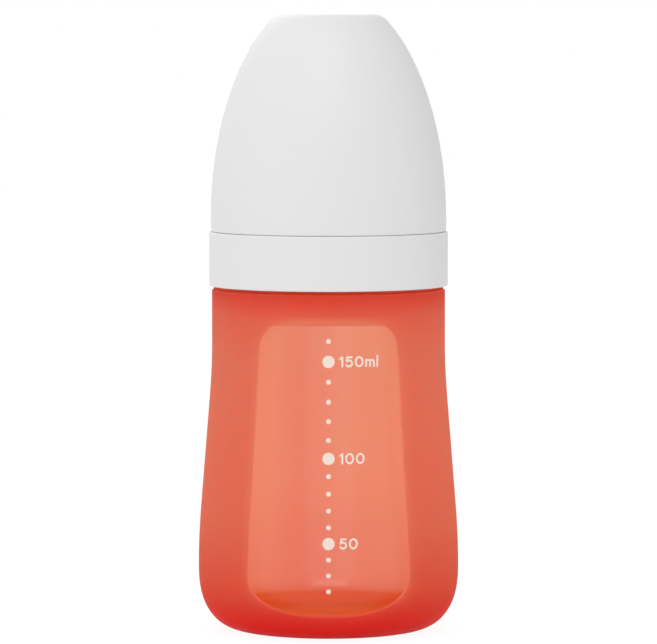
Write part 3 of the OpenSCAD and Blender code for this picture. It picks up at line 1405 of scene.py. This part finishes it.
@dataclass
class GlassVessel:
    """The glass bottle, with a dent under its base and a screw thread round its neck."""

    body: BodyOutline
    thread: ScrewThread
    finish: ClearGlass
    foot: float
    rim: float
    depth: float = 1.9
    wall: float = 2.0
    base: float = 1.8
    neck: float = 25.9
    dent: float = 15.0
    dent_height: float = 0.9
    rim_round: float = 0.9
    columns: int = 192

    def dented(self, floor: float) -> list[Flat]:
        """The shallow dome over the dent, from the axis out.

        Args:
            floor: Height of the glass round the dent.

        Returns:
            The points from the axis out.
        """
        return [
            (self.dent * i / 10, floor + self.dent_height * (1 - (i / 10) ** 2)) for i in range(11)
        ]

    def outline(self) -> list[Flat]:
        """The closed outline of the glass.

        Returns:
            The points, from the axis below, out, up and back inside.
        """
        inner, bore = self.depth + self.wall, self.neck - self.wall
        floor = self.foot + self.base
        rim = rounded(
            (
                (self.neck, self.body.shoulder, 0.0),
                (self.neck, self.rim, self.rim_round),
                (bore, self.rim, self.rim_round),
                (bore, self.body.shoulder, 0.0),
            ),
            steps=6,
        )
        return [
            *self.dented(self.foot),
            *self.body.side(self.depth, self.foot),
            *spread(rim, self.thread.longest)[1:],
            *reversed(self.body.side(inner, floor)[:-1]),
            *reversed(self.dented(floor)),
        ]

    def surface(self, height: float) -> float:
        """Radius of the outer surface at a height."""
        return self.body.radius(height, self.depth, self.foot)

    def fill_height(self, millilitres: float) -> float:
        """Height to which a volume of milk fills the bottle.

        Args:
            millilitres: The volume.

        Returns:
            The height above the table.
        """
        floor, step = self.foot + self.base, 0.02
        height, held = floor, 0.0
        while held < millilitres * 1000:
            area = self.body.radius(height, self.depth + self.wall, floor) ** 2
            dome = max(0.0, 1 - (height - floor) / self.dent_height)
            held += math.pi * (area - self.dent**2 * dome) * step
            height += step
        return height

    def build(self, thread_tree: Relief) -> bpy.types.Object:
        """Build the bottle in place of its plain solid.

        Args:
            thread_tree: The thread's nodes.

        Returns:
            The piece.
        """
        bottle = lathed("glass_bottle", self.outline(), self.columns, self.finish.material())
        self.thread.cut(bottle, self.neck, Side.OUTWARD, thread_tree)
        seat(bottle, "bottle", "bottle_glass", "bottle")
        return bottle


# A point of a stroke's middle line, the direction it runs in, and half its width there.
Station = tuple[Flat, Flat, float]


@dataclass(frozen=True)
class StrokeFigures:
    """Round-ended figures and letters, as the middle lines of their strokes.

    One, five, zero and arch are the widths of those signs and of each arch of the m.
    """

    height: float = 2.25
    stroke: float = 0.47
    gap: float = 0.45
    one: float = 0.55
    five: float = 1.48
    zero: float = 1.75
    arch: float = 1.02

    def lines(self, sign: str) -> tuple[float, list[list[Flat]]]:
        """One figure or letter, standing on its base line.

        Args:
            sign: The figure or letter.

        Returns:
            Its width between the middles of its outer strokes, and its strokes.
        """
        tall = self.height
        if sign == "1":
            flag = [(0.0, tall - 0.42), (self.one, tall)]
            return self.one, [flag, [(self.one, tall), (self.one, 0.0)]]
        if sign == "5":
            bowl = arc((0.72, 0.74), (0.76, 0.74), 138, -150, 22)
            return self.five, [[(1.36, tall), (0.3, tall)], [(0.3, tall), bowl[0]], bowl]
        if sign == "0":
            half = (self.zero / 2, tall / 2)
            return self.zero, [arc(half, half, 0, 360, 32)]
        if sign == "m":
            wide, half = self.arch, self.arch / 2
            arches = [
                [(x, 0.0), *arc((x - half, wide), (half, half), 0, 180, 10), (x - wide, 0.7)]
                for x in (wide, 2 * wide)
            ]
            return 2 * wide, [[(0.0, 0.0), (0.0, wide + half)], *arches]
        return 0.0, [[(0.0, 0.0), (0.0, tall + 0.25)]]

    def word(self, signs: str, start: float, base: float) -> list[list[Flat]]:
        """The strokes of a row of signs.

        Args:
            signs: The figures and letters.
            start: Left edge of the first.
            base: Height of the strokes' lower ends.

        Returns:
            The middle line of every stroke.
        """
        strokes = []
        pen = start + self.stroke / 2
        for sign in signs:
            width, lines = self.lines(sign)
            strokes += [[(pen + x, base + z) for x, z in line] for line in lines]
            pen += width + self.stroke + self.gap
        return strokes

    @staticmethod
    def round_end(last: Station, way: int, steps: int = 5) -> list[Station]:
        """Stations that round a stroke off past its last one.

        Args:
            last: The stroke's first or last station.
            way: 1 to go on along the stroke, and -1 to go back.
            steps: Number of stations.

        Returns:
            The stations, narrowing to nothing.
        """
        (x, z), (dx, dz), half = last
        stations = []
        for i in range(1, steps + 1):
            turn = math.pi / 2 * i / steps
            out = way * half * math.sin(turn)
            stations.append(((x + dx * out, z + dz * out), (dx, dz), half * math.cos(turn)))
        return stations

    def ribbon(self, line: Sequence[Flat]) -> list[tuple[Flat, Flat]]:
        """Both edges of a stroke, which ends round unless it is a ring.

        Args:
            line: The stroke's middle line.

        Returns:
            Pairs of points, left and right of the line.
        """
        half = self.stroke / 2
        points = spread(line, 0.12)
        ring = math.dist(points[0], points[-1]) < MERGE / MM
        spine: list[Station] = []
        for k, here in enumerate(points):
            before = points[k - 1] if k else (points[-2] if ring else here)
            after = points[k + 1] if k + 1 < len(points) else (points[1] if ring else here)
            length = math.dist(before, after)
            spine.append((here, ((after[0] - before[0]) / length, (after[1] - before[1]) / length), half))
        if not ring:
            spine = [*reversed(self.round_end(spine[0], -1)), *spine, *self.round_end(spine[-1], 1)]
        return [((x - dz * w, z + dx * w), (x + dz * w, z - dx * w)) for (x, z), (dx, dz), w in spine]


@dataclass
class PrintedScale:
    """The white scale on the glass: a dot for every step, and a figure beside the large ones."""

    vessel: GlassVessel
    figures: StrokeFigures
    finish: FiredEnamel
    first: int = 20
    last: int = 160
    step: int = 10
    named: tuple[tuple[int, str], ...] = ((50, "50"), (100, "100"), (150, "150ml"))
    small: float = 0.6
    large: float = 1.5
    margin: float = 2.6
    thickness: float = 0.04
    lift: float = 0.02
    apart: float = 0.005
    layers: int = 3

    def wrapped(self, x: float, height: float, out: float) -> Solid:
        """A point of the flat print, laid round the glass.

        Args:
            x: Place to the right of the dots.
            height: Height above the table.
            out: Distance from the print's underside.

        Returns:
            The point.
        """
        radius = self.vessel.surface(height)
        return round_axis(radius + self.lift + out, height, x / radius)

    def dot_tree(self) -> Relief:
        """Nodes that set a round dot at every point, a large one where the count says so.

        Returns:
            The tree, with inputs for the dots' sizes.
        """
        tree = Relief("scale_dots", ("Small", "Large", "Thickness", "First large", "Large every"))
        disc = {"Vertices": 32, "Side Segments": 1, "Fill Segments": 4, "Radius": 1.0, "Depth": 1.0}
        flat = tree.node("GeometryNodeMeshCylinder", {"fill_type": "TRIANGLE_FAN"}, disc)
        turned = {"Geometry": flat, "Rotation": (math.pi / 2, 0.0, 0.0)}
        upright = tree.node("GeometryNodeTransform", None, turned)
        count = tree.node("GeometryNodeInputIndex") - tree.value("First large")
        cycle = count / tree.value("Large every")
        away = abs(cycle - cycle.maths("ROUND", cycle))
        is_small = away.step(0.01, 0.02)
        size = tree.value("Large") + (tree.value("Small") - tree.value("Large")) * is_small
        scale = tree.node("ShaderNodeCombineXYZ", None, {0: size, 1: tree.value("Thickness"), 2: size})
        inputs = {"Points": tree.value("Geometry"), "Instance": upright, "Scale": scale}
        tree.close(tree.node("GeometryNodeInstanceOnPoints", None, inputs))
        return tree

    def build_dots(self, material: bpy.types.Material) -> bpy.types.Object:
        """Set out the dots by volume, run the nodes on them and lay them round the glass.

        Args:
            material: The print's finish.

        Returns:
            The dots as one object.
        """
        mesh = bpy.data.meshes.new("scale_dots")
        volumes = range(self.first, self.last + 1, self.step)
        heights = [self.vessel.fill_height(volume) for volume in volumes]
        mesh.from_pydata([(0.0, 0.0, height * MM) for height in heights], [], [])
        mesh.materials.append(material)
        dots = placed("scale_dots", mesh)
        sizes = {
            "Small": self.small * MM,
            "Large": self.large * MM,
            "Thickness": self.thickness * MM,
            "First large": float((self.named[0][0] - self.first) // self.step),
            "Large every": float((self.named[1][0] - self.named[0][0]) // self.step),
            "Material": material,
        }
        self.dot_tree().apply(dots, sizes)
        for vertex in dots.data.vertices:
            x, y, z = (c / MM for c in vertex.co)
            vertex.co = [c * MM for c in self.wrapped(x, z, self.thickness / 2 - y)]
        return dots

    def build_figures(self, material: bpy.types.Material) -> bpy.types.Object:
        """Lay the strokes of every figure round the glass, with those that cross a hair apart.

        Args:
            material: The print's finish.

        Returns:
            The figures as one object.
        """
        draft = Draft()
        for volume, signs in self.named:
            base = self.vessel.fill_height(volume) - self.figures.height / 2
            for k, line in enumerate(self.figures.word(signs, self.margin, base)):
                under = self.apart * (k % self.layers)
                over = under + self.thickness
                rows = []
                for left, right in self.figures.ribbon(line):
                    section = ((left, over), (right, over), (right, under), (left, under))
                    rows.append([self.wrapped(x, z, out) for (x, z), out in section])
                draft.skin(rows)
        return draft.build("scale_figures", material)

    def build(self) -> list[bpy.types.Object]:
        """Build the print on the glass.

        Returns:
            The dots and the figures.
        """
        material = self.finish.material()
        pieces = [self.build_dots(material), self.build_figures(material)]
        for piece in pieces:
            seat(piece, "bottle", "bottle_glass")
        return pieces


@dataclass
class StorageDisc:
    """The flat disc that closes the bottle for storage, with a ring that centres it in the neck."""

    finish: MouldedPlastic
    radius: float
    rim: float
    top: float
    ring_radius: float = 23.6
    ring_width: float = 1.2
    ring_height: float = 2.0
    edge: float = 1.2
    dish: float = 0.2
    columns: int = 192

    def outline(self) -> list[Flat]:
        """The closed outline of the disc, with its shallow dish on top.

        Returns:
            The points, from the axis below to the axis above.
        """
        inside, low = self.ring_radius - self.ring_width, self.rim - self.ring_height
        corners = (
            (0.0, self.rim, 0.0),
            (inside, self.rim, 0.3),
            (inside, low, 0.2),
            (self.ring_radius - self.ring_width / 2, low, 0.3),
            (self.ring_radius, self.rim - self.ring_height / 2, 0.3),
            (self.ring_radius, self.rim, 0.15),
            (self.radius, self.rim, 0.2),
            (self.radius, self.top, 0.3),
            (self.radius - self.edge, self.top, 0.1),
            (self.radius - self.edge - 2 * self.dish, self.top - self.dish, 0.1),
            (0.0, self.top - self.dish, 0.0),
        )
        return spread(rounded(corners), 3.0)

    def build(self) -> bpy.types.Object:
        """Build the disc in place of its plain solid.

        Returns:
            The piece.
        """
        disc = lathed("storage_disc", self.outline(), self.columns, self.finish.material())
        seat(disc, "sealing_disc", "disc_plastic", "sealing_disc")
        return disc


@dataclass
class Teat:
    """The silicone teat: flange, bead, dome with ribs inside, and nipple."""

    finish: MilkySilicone
    flange: float
    foot: float
    tip: float
    dome: float = 106.1
    neck: float = 22.4
    flange_height: float = 1.8
    bead: float = 23.3
    bead_height: float = 1.2
    wall: float = 2.0
    nipple_wall: float = 1.6
    dome_height: float = 21.0
    nipple: float = 6.7
    bulb: float = 7.6
    bulb_rise: float = 9.0
    hole: float = 0.3
    vent: float = 0.4
    vent_place: float = 21.15
    ribs: int = 6
    rib_depth: float = 0.8
    rib_width: float = 1.6
    rib_slope: Flat = (0.3, 1.1)
    rib_fade: float = 0.3
    columns: int = 300

    def curve(self, depth: float, tip_depth: float) -> list[Flat]:
        """Outline of dome and nipple up to the feeding hole.

        Args:
            depth: How far inside the dome's surface.
            tip_depth: How far inside the nipple's surface.

        Returns:
            The points from the dome's foot to the hole.
        """
        base = (self.neck - depth, self.dome)
        waist = (self.nipple - tip_depth, self.dome + self.dome_height - depth / 2)
        bulb = (self.bulb - tip_depth, self.dome + self.dome_height + self.bulb_rise)
        tip = (0.0, self.tip - tip_depth)
        lift, drop = self.dome_height / 2 - depth, self.dome_height * 0.6
        dome = cubic((base, (base[0], base[1] + lift), (waist[0], waist[1] - drop), waist), 34)
        half = self.bulb_rise / 2
        nipple = cubic((waist, (waist[0], waist[1] + half), (bulb[0], bulb[1] - half), bulb), 14)
        rise = 0.6 * (tip[1] - bulb[1])
        end = cubic((bulb, (bulb[0], bulb[1] + rise), (bulb[0] * 0.6, tip[1]), tip), 18)
        points = [*dome, *nipple[1:], *end[1:]]
        # Points that crowd the hole are left out, so that its edge stays clean.
        return [*(p for p in points if p[0] > self.hole * 1.3), (self.hole, tip[1])]

    def outline(self) -> list[Flat]:
        """The closed outline of the teat, from the feeding hole out and down, and up inside.

        Returns:
            The points.
        """
        flange_top = self.foot + self.flange_height
        bead_foot = self.dome - self.bead_height
        bead = arc(
            (self.neck, self.dome - self.bead_height / 2),
            (self.bead - self.neck, self.bead_height / 2),
            90,
            -90,
            12,
        )
        foot = rounded(
            (
                (self.neck, bead_foot, 0.0),
                (self.neck, flange_top, 0.3),
                (self.flange, flange_top, 0.3),
                (self.flange, self.foot, 0.3),
                (self.neck - self.wall, self.foot, 0.2),
                (self.neck - self.wall, self.dome, 0.0),
            )
        )
        outside = list(reversed(self.curve(0.0, 0.0)))
        return [*outside, *bead[1:], *spread(foot, 0.8)[1:-1], *self.curve(self.wall, self.nipple_wall)]

    def rib_tree(self) -> Relief:
        """Nodes that thicken the inside of the dome along a ring of upright ribs.

        Returns:
            The tree, with inputs for the ribs' sizes.
        """
        tree = Relief("dome_ribs", ("Count", "Depth", "Width", "Low", "High"))
        place = tree.node("GeometryNodeInputPosition")
        normal = tree.node("GeometryNodeInputNormal")
        x, y, z = (place.part(axis) for axis in "XYZ")
        level = tree.node("ShaderNodeCombineXYZ", None, {0: x, 1: y})
        dot = {"operation": "DOT_PRODUCT"}
        facing = tree.node("ShaderNodeVectorMath", dot, {0: level, 1: normal}, "Value")
        across = x.hypot(y)
        turn = y.maths("ARCTAN2", y, x) / math.tau
        lap = turn * tree.value("Count") + 0.5
        away = abs(lap.maths("FRACT", lap) - 0.5) / tree.value("Count") * math.tau * across
        half = tree.value("Width") * 0.5
        share = (z - tree.value("Low")) / (tree.value("High") - tree.value("Low"))
        fade = share.step(0.0, self.rib_fade) * (1 - share.step(1 - self.rib_fade, 1.0))
        inside = 1 - facing.step(-0.02 * MM, 0.0)
        top, foot = self.rib_slope
        push = (1 - away.step(half * top, half * foot)) * fade * inside * tree.value("Depth")
        offset = tree.node("ShaderNodeVectorMath", {"operation": "SCALE"}, {0: normal, "Scale": push})
        tree.close(tree.moved(offset))
        return tree

    def pierce(self, teat: bpy.types.Object) -> None:
        """Cut the air vent through the flange.

        Args:
            teat: The teat, with its ribs.
        """
        draft = Draft()
        low, high = self.foot - 1, self.foot + self.flange_height + 1
        draft.lathe([(0.0, low), (self.vent, low), (self.vent, high), (0.0, high)], 24)
        draft.points = [(x, y + self.vent_place, z) for x, y, z in draft.points]
        drill = draft.build("vent_drill", teat.data.materials[0])
        cut = teat.modifiers.new("vent", "BOOLEAN")
        cut.operation, cut.solver, cut.object = "DIFFERENCE", "EXACT", drill
        keep_result(teat)
        bpy.data.objects.remove(drill)

    def build(self) -> bpy.types.Object:
        """Build the teat in place of its plain solid.

        Returns:
            The piece.
        """
        teat = lathed("silicone_teat", self.outline(), self.columns, self.finish.material())
        sizes = {
            "Count": float(self.ribs),
            "Depth": self.rib_depth * MM,
            "Width": self.rib_width * MM,
            "Low": self.dome * MM,
            "High": (self.dome + self.dome_height) * MM,
            "Material": teat.data.materials[0],
        }
        self.rib_tree().apply(teat, sizes)
        self.pierce(teat)
        seat(teat, "teat", "teat_silicone", "teat")
        return teat


@dataclass
class ScrewCollar:
    """The collar that screws down on the neck, clamps the teat and carries the cap."""

    thread: ScrewThread
    finish: MouldedPlastic
    radius: float
    skirt: float
    seat_height: float
    top: float
    bore: float = 27.5
    ring: float = 27.3
    bead: float = 27.5
    hole: float = 22.7
    ring_bore: float = 26.2
    clamp: float = 1.8
    edge_round: float = 0.4
    bead_rise: float = 0.2
    bore_step: float = 1.6
    columns: int = 240

    def outline(self) -> list[Flat]:
        """The closed outline of the collar.

        Returns:
            The points, once round.
        """
        under = self.top - self.clamp
        half_way = (self.skirt + self.seat_height) / 2
        corners = (
            (self.bore, half_way, 0.0),
            (self.bore, self.skirt, 0.25),
            (self.radius, self.skirt, self.edge_round),
            (self.radius, self.seat_height, self.edge_round),
            (self.ring, self.seat_height, 0.15),
            (self.ring, under - self.bead_rise, 0.1),
            (self.bead, under, 0.15),
            (self.bead, self.top - self.clamp / 2, 0.15),
            (self.ring - self.clamp / 2, self.top, 0.4),
            (self.hole, self.top, 0.3),
            (self.hole, under, 0.3),
            (self.ring_bore, under, 0.2),
            (self.ring_bore, self.seat_height, 0.2),
            (self.bore, self.seat_height - self.bore_step, 0.3),
            (self.bore, half_way, 0.0),
        )
        return spread(rounded(corners, 5), self.thread.longest)[:-1]

    def build(self, thread_tree: Relief) -> bpy.types.Object:
        """Build the collar in place of its plain solid.

        Args:
            thread_tree: The thread's nodes.

        Returns:
            The piece.
        """
        collar = lathed("screw_collar", self.outline(), self.columns, self.finish.material())
        self.thread.cut(collar, self.bore, Side.INWARD, thread_tree)
        seat(collar, "collar", "collar_plastic", "collar")
        return collar


@dataclass
class DomeCap:
    """The dome cap, open at its rim, with a ring inside that catches on the collar's bead."""

    finish: MouldedPlastic
    radius: float
    seat_height: float
    top: float
    wall: float = 1.6
    belly: float = 2.9
    flat: float = 13.2
    edge: float = 1.5
    rim_round: float = 0.25
    rim_edge: float = 0.4
    rim_rise: float = 0.3
    ring: float = 27.65
    columns: int = 256

    def dome(self, radius: float, flat: float, top: float) -> list[Flat]:
        """Outline from just above the rim to the flat on top.

        Args:
            radius: Widest radius, at the height of the belly.
            flat: Radius of the flat with its edge sharp.
            top: Height of the flat.

        Returns:
            The points from below to above.
        """
        middle = self.seat_height + self.belly
        rise = top - middle
        half = rise / math.sqrt(1 - (flat / radius) ** 2)
        first = math.degrees(math.asin((self.seat_height + self.rim_round - middle) / half))
        last = math.degrees(math.asin((rise - self.edge) / half))
        shoulder = radius * math.cos(math.radians(last))
        bend = 0.45 * self.edge * radius / half * math.tan(math.radians(last))
        # These shares of the edge lead the dome's slope round into the flat.
        crown = cubic(
            (
                (shoulder, top - self.edge),
                (shoulder - bend, top - self.edge * 0.55),
                (flat - self.edge * 0.35, top),
                (flat - self.edge, top),
            ),
            14,
        )
        return [*arc((0.0, middle), (radius, half), first, last, 64), *crown[1:]]

    def outline(self) -> list[Flat]:
        """The closed outline of the cap.

        Returns:
            The points, from the axis out, round the rim and back inside.
        """
        inner = self.radius - self.wall
        reach = inner - self.ring
        low = self.seat_height + self.wall / 2
        ring = rounded(
            (
                (inner, self.seat_height + self.rim_rise, 0.0),
                (inner, low, 0.1),
                (self.ring, low + reach, 0.05),
                (self.ring, low + 2 * reach, 0.05),
                (inner, low + 3 * reach, 0.1),
                (inner, low + 3 * reach + self.rim_rise, 0.0),
            )
        )
        under = self.dome(inner, self.flat - self.wall / 2, self.top - self.wall)
        inside = [p for p in under if p[1] > ring[-1][1]]
        outside = self.dome(self.radius, self.flat, self.top)
        rim = rounded(
            (
                (inner, self.seat_height + self.rim_rise, 0.0),
                (inner, self.seat_height, 0.2),
                (self.radius - self.rim_edge, self.seat_height, 0.2),
                (*outside[0], 0.0),
            )
        )
        crown = [(0.0, self.top), (self.flat * 0.5, self.top)]
        ceiling = [(self.flat * 0.5, self.top - self.wall), (0.0, self.top - self.wall)]
        return [*crown, *reversed(outside), *reversed(rim[:-1]), *ring[1:], *inside, *ceiling]

    def build(self) -> bpy.types.Object:
        """Build the cap in place of its plain solid.

        Returns:
            The piece.
        """
        cap = lathed("dome_cap", self.outline(), self.columns, self.finish.material())
        seat(cap, "cap", "cap_plastic", "cap")
        return cap


# ---------------------------------------------------------------------------------------------
# Studio
# ---------------------------------------------------------------------------------------------


@dataclass(frozen=True)
class Lamp:
    """A square soft lamp that faces a point on the object."""

    name: str
    place: Solid
    size: float
    watts: float


@dataclass
class Studio:
    """White surroundings, a pale floor, soft lamps and the camera, in metres."""

    look_at: Solid = (0.0, 0.0, 0.0769)
    eye: Solid = (0.0, -1.2, 0.154)
    lens: float = 263.6
    sensor: float = 36.0
    near: float = 0.01
    sky: float = 0.76
    sky_tilt: float = 0.13
    mirror_shade: float = 0.85
    shade_lean: float = 0.8
    shade_span: Flat = (-0.9, 1.2)
    floor_colour: Colour = (0.92, 0.92, 0.92, 1.0)
    floor_glow: float = 1.08
    floor_share: float = 0.85
    floor_size: float = 3.0
    lamps: tuple[Lamp, ...] = (
        Lamp("front", (0.0, -0.84, 1.08), 0.7, 3.4),
        Lamp("back", (-0.3, 0.95, 0.75), 0.7, 1.4),
    )

    @staticmethod
    def seen(tree: Tree) -> Wire:
        """1 for what the camera, a reflection or a look through glass meets, and 0 for light.

        Args:
            tree: The tree to build in.

        Returns:
            The share.
        """
        rays = [
            tree.node("ShaderNodeLightPath", output=name)
            for name in ("Is Camera Ray", "Is Glossy Ray", "Is Transmission Ray")
        ]
        return rays[0].maths("MINIMUM", rays[0] + rays[1] + rays[2], 1.0)

    def build_world(self) -> None:
        """White surroundings that light the object a little less than they look."""
        world = bpy.data.worlds.new("studio")
        world.use_nodes = True
        bpy.context.scene.world = world
        tree = Tree(world.node_tree)
        way = tree.node("ShaderNodeTexCoord", output="Generated")
        across, deep = (way.part(axis) for axis in "XY")
        light = self.sky - across * self.sky_tilt
        mirrored = tree.node("ShaderNodeLightPath", output="Is Glossy Ray")
        through = tree.node("ShaderNodeLightPath", output="Is Transmission Ray")
        away = 1 - (deep * self.shade_lean - across).step(*self.shade_span)
        shade = mirrored * (1 - through) * away * self.mirror_shade
        strength = light + self.seen(tree) * (1 - light) - shade
        background = tree.node("ShaderNodeBackground", None, {"Color": WHITE, "Strength": strength})
        tree.node("ShaderNodeOutputWorld", None, {"Surface": background})

    def build_floor(self) -> None:
        """A pale floor that looks almost white and keeps a soft shadow."""
        mesh = bpy.data.meshes.new("floor")
        square = ((-1, -1), (1, -1), (1, 1), (-1, 1))
        corners = [(x * self.floor_size, y * self.floor_size, 0.0) for x, y in square]
        mesh.from_pydata(corners, [], [(0, 1, 2, 3)])
        floor = placed("floor", mesh)
        shader = Shader("floor_white")
        matt = shader.node("ShaderNodeBsdfDiffuse", None, {"Color": self.floor_colour})
        glow = shader.node("ShaderNodeEmission", None, {"Color": WHITE, "Strength": self.floor_glow})
        share = self.seen(shader) * self.floor_share
        mesh.materials.append(shader.finish(shader.mix(share, matt, glow)))

    def aimed(self, name: str, data: bpy.types.ID, place: Solid) -> bpy.types.Object:
        """Put a lamp or camera somewhere, facing the object.

        Args:
            name: The new object's name.
            data: The lamp's or camera's own data.
            place: Where it stands, in metres.

        Returns:
            The new object.
        """
        made = placed(name, data)
        made.location = place
        way = Vector(self.look_at) - Vector(place)
        made.rotation_euler = way.to_track_quat("-Z", "Y").to_euler()
        return made

    def build(self) -> None:
        """Set up everything round the object."""
        scene = bpy.context.scene
        scene.view_settings.view_transform = "Standard"
        self.build_world()
        self.build_floor()
        for lamp in self.lamps:
            light = bpy.data.lights.new(lamp.name, "AREA")
            light.energy, light.size = lamp.watts, lamp.size
            self.aimed(lamp.name, light, lamp.place)
        camera = bpy.data.cameras.new("camera")
        camera.lens, camera.sensor_width, camera.clip_start = self.lens, self.sensor, self.near
        scene.camera = self.aimed("camera", camera, self.eye)


def main() -> None:
    """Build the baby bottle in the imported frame, piece by piece."""
    logging.basicConfig(level=logging.INFO, format="%(name)s: %(message)s")
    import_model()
    levels = Levels.measured()
    body = BodyOutline(levels.widest)
    thread = ScrewThread()
    thread_tree = thread.tree()
    white = MouldedPlastic("white_plastic", srgb(237, 237, 237), srgb(232, 232, 232))
    disc_white = MouldedPlastic("disc_plastic", srgb(240, 240, 238), srgb(234, 234, 232))

    Studio().build()
    SiliconeSleeve(body, WindowOutline(), ColouredSilicone(), levels.lip).build()
    vessel = GlassVessel(body, thread, ClearGlass(), levels.glass_foot, levels.rim)
    vessel.build(thread_tree)
    PrintedScale(vessel, StrokeFigures(), FiredEnamel()).build()
    StorageDisc(disc_white, levels.flange, levels.rim, levels.disc_top).build()
    Teat(MilkySilicone(), levels.flange, levels.disc_top, levels.tip).build()
    collar = ScrewCollar(thread, white, levels.collar, levels.skirt, levels.seat, levels.collar_top)
    collar.build(thread_tree)
    DomeCap(white, levels.cap, levels.seat, levels.cap_top).build()


if __name__ == "__main__":
    main()
